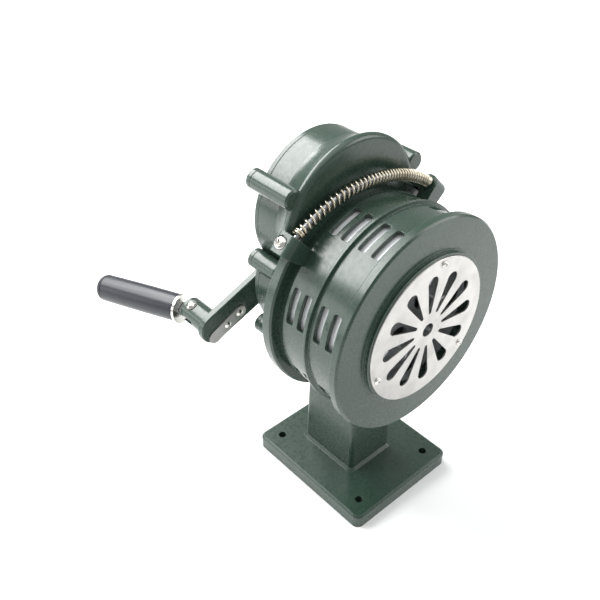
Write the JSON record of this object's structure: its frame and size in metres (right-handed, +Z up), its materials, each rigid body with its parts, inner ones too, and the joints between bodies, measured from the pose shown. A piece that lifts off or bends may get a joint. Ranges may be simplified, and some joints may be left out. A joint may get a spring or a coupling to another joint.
{
  "type": "hand-cranked siren",
  "caption": "Hand-cranked rotary siren on a bolted pedestal, with a slotted drum, front grille, geared crank with a folding grip and a coiled carry handle.",
  "frame": {"origin": "centre of the base plate's underside, on the bolt pattern's centre", "axes": "+Z up; the drum's axis along Y with the grille facing -Y and the crank at +Y; +X completes the frame"},
  "size_m": [0.2044, 0.2471, 0.2917],
  "materials": {
    "painted_casting": "semi-gloss dark grey-green enamel on cast aluminium",
    "stainless": "brushed stainless steel",
    "nickel_spring": "bright nickel-plated spring wire",
    "cast_aluminium": "cast and turned",
    "machined_steel": "machined, lightly oiled",
    "bronze": "sintered bronze",
    "gasket": "matte",
    "grip_plastic": "glossy moulded, blue-black"
  },
  "bodies": {
    "housing": {"pedestal": "painted_casting", "pedestal_bolts": "machined_steel", "stator_drum": "painted_casting", "front_cover": "painted_casting", "grille": "stainless", "grille_screws": "stainless", "rear_housing": "painted_casting", "cover_gasket": "gasket", "rear_cover": "painted_casting", "cover_screws": "stainless", "rotor_bearings": "machined_steel", "intermediate_bushes": "bronze", "crank_bush": "bronze", "handle_lug_left": "painted_casting", "handle_lug_right": "painted_casting", "handle_core": "machined_steel", "handle_spring": "nickel_spring", "lug_screws": "stainless"},
    "rotor_body": {"rotor": "cast_aluminium", "rotor_shaft": "machined_steel", "rotor_washer": "machined_steel", "rotor_nut": "machined_steel", "rotor_pinion": "machined_steel"},
    "intermediate": {"intermediate_shaft": "machined_steel", "intermediate_gear": "machined_steel", "intermediate_pinion": "machined_steel"},
    "crank": {"crank_shaft": "machined_steel", "crank_gear": "machined_steel", "gear_retainer": "machined_steel", "ratchet_wheel": "machined_steel", "ratchet_pawls": "machined_steel", "pawl_springs": "nickel_spring", "pawl_pins": "machined_steel", "crank_arm": "painted_casting", "crank_washer": "machined_steel", "crank_nut": "machined_steel", "latch_leaf": "stainless", "leaf_rivets": "stainless", "fold_pin": "stainless"},
    "grip_pivot": {"grip_rod": "machined_steel", "grip_washer": "machined_steel", "grip_nut": "machined_steel"},
    "grip_body": {"grip_ferrule": "stainless", "grip": "grip_plastic", "grip_cap": "grip_plastic"}
  },
  "joints": [
    {"name": "crank_spin", "type": "hinge", "parent": "housing", "child": "crank", "pos_m": [0, 0, 0.177], "axis": [0, 1, 0], "continuous": true},
    {"name": "intermediate_spin", "type": "hinge", "parent": "housing", "child": "intermediate", "pos_m": [0, 0, 0.23075], "axis": [0, 1, 0], "continuous": true},
    {"name": "rotor_spin", "type": "hinge", "parent": "housing", "child": "rotor_body", "pos_m": [0, 0, 0.177], "axis": [0, 1, 0], "continuous": true},
    {"name": "grip_fold", "type": "hinge", "parent": "crank", "child": "grip_pivot", "pos_m": [-0.0843, 0.0893, 0.14548], "axis": [-0.3502, 0, 0.9367], "range_deg": [-108.8, 0]},
    {"name": "grip_spin", "type": "hinge", "parent": "grip_pivot", "child": "grip_body", "pos_m": [-0.0843, 0.0893, 0.14548], "axis": [-0.3026, 0.9464, -0.1131], "continuous": true}
  ],
  "couplings": [
    {"joint": "intermediate_spin", "follows": "crank_spin", "ratio": -6.1667},
    {"joint": "rotor_spin", "follows": "crank_spin", "ratio": 38.028}
  ]
}
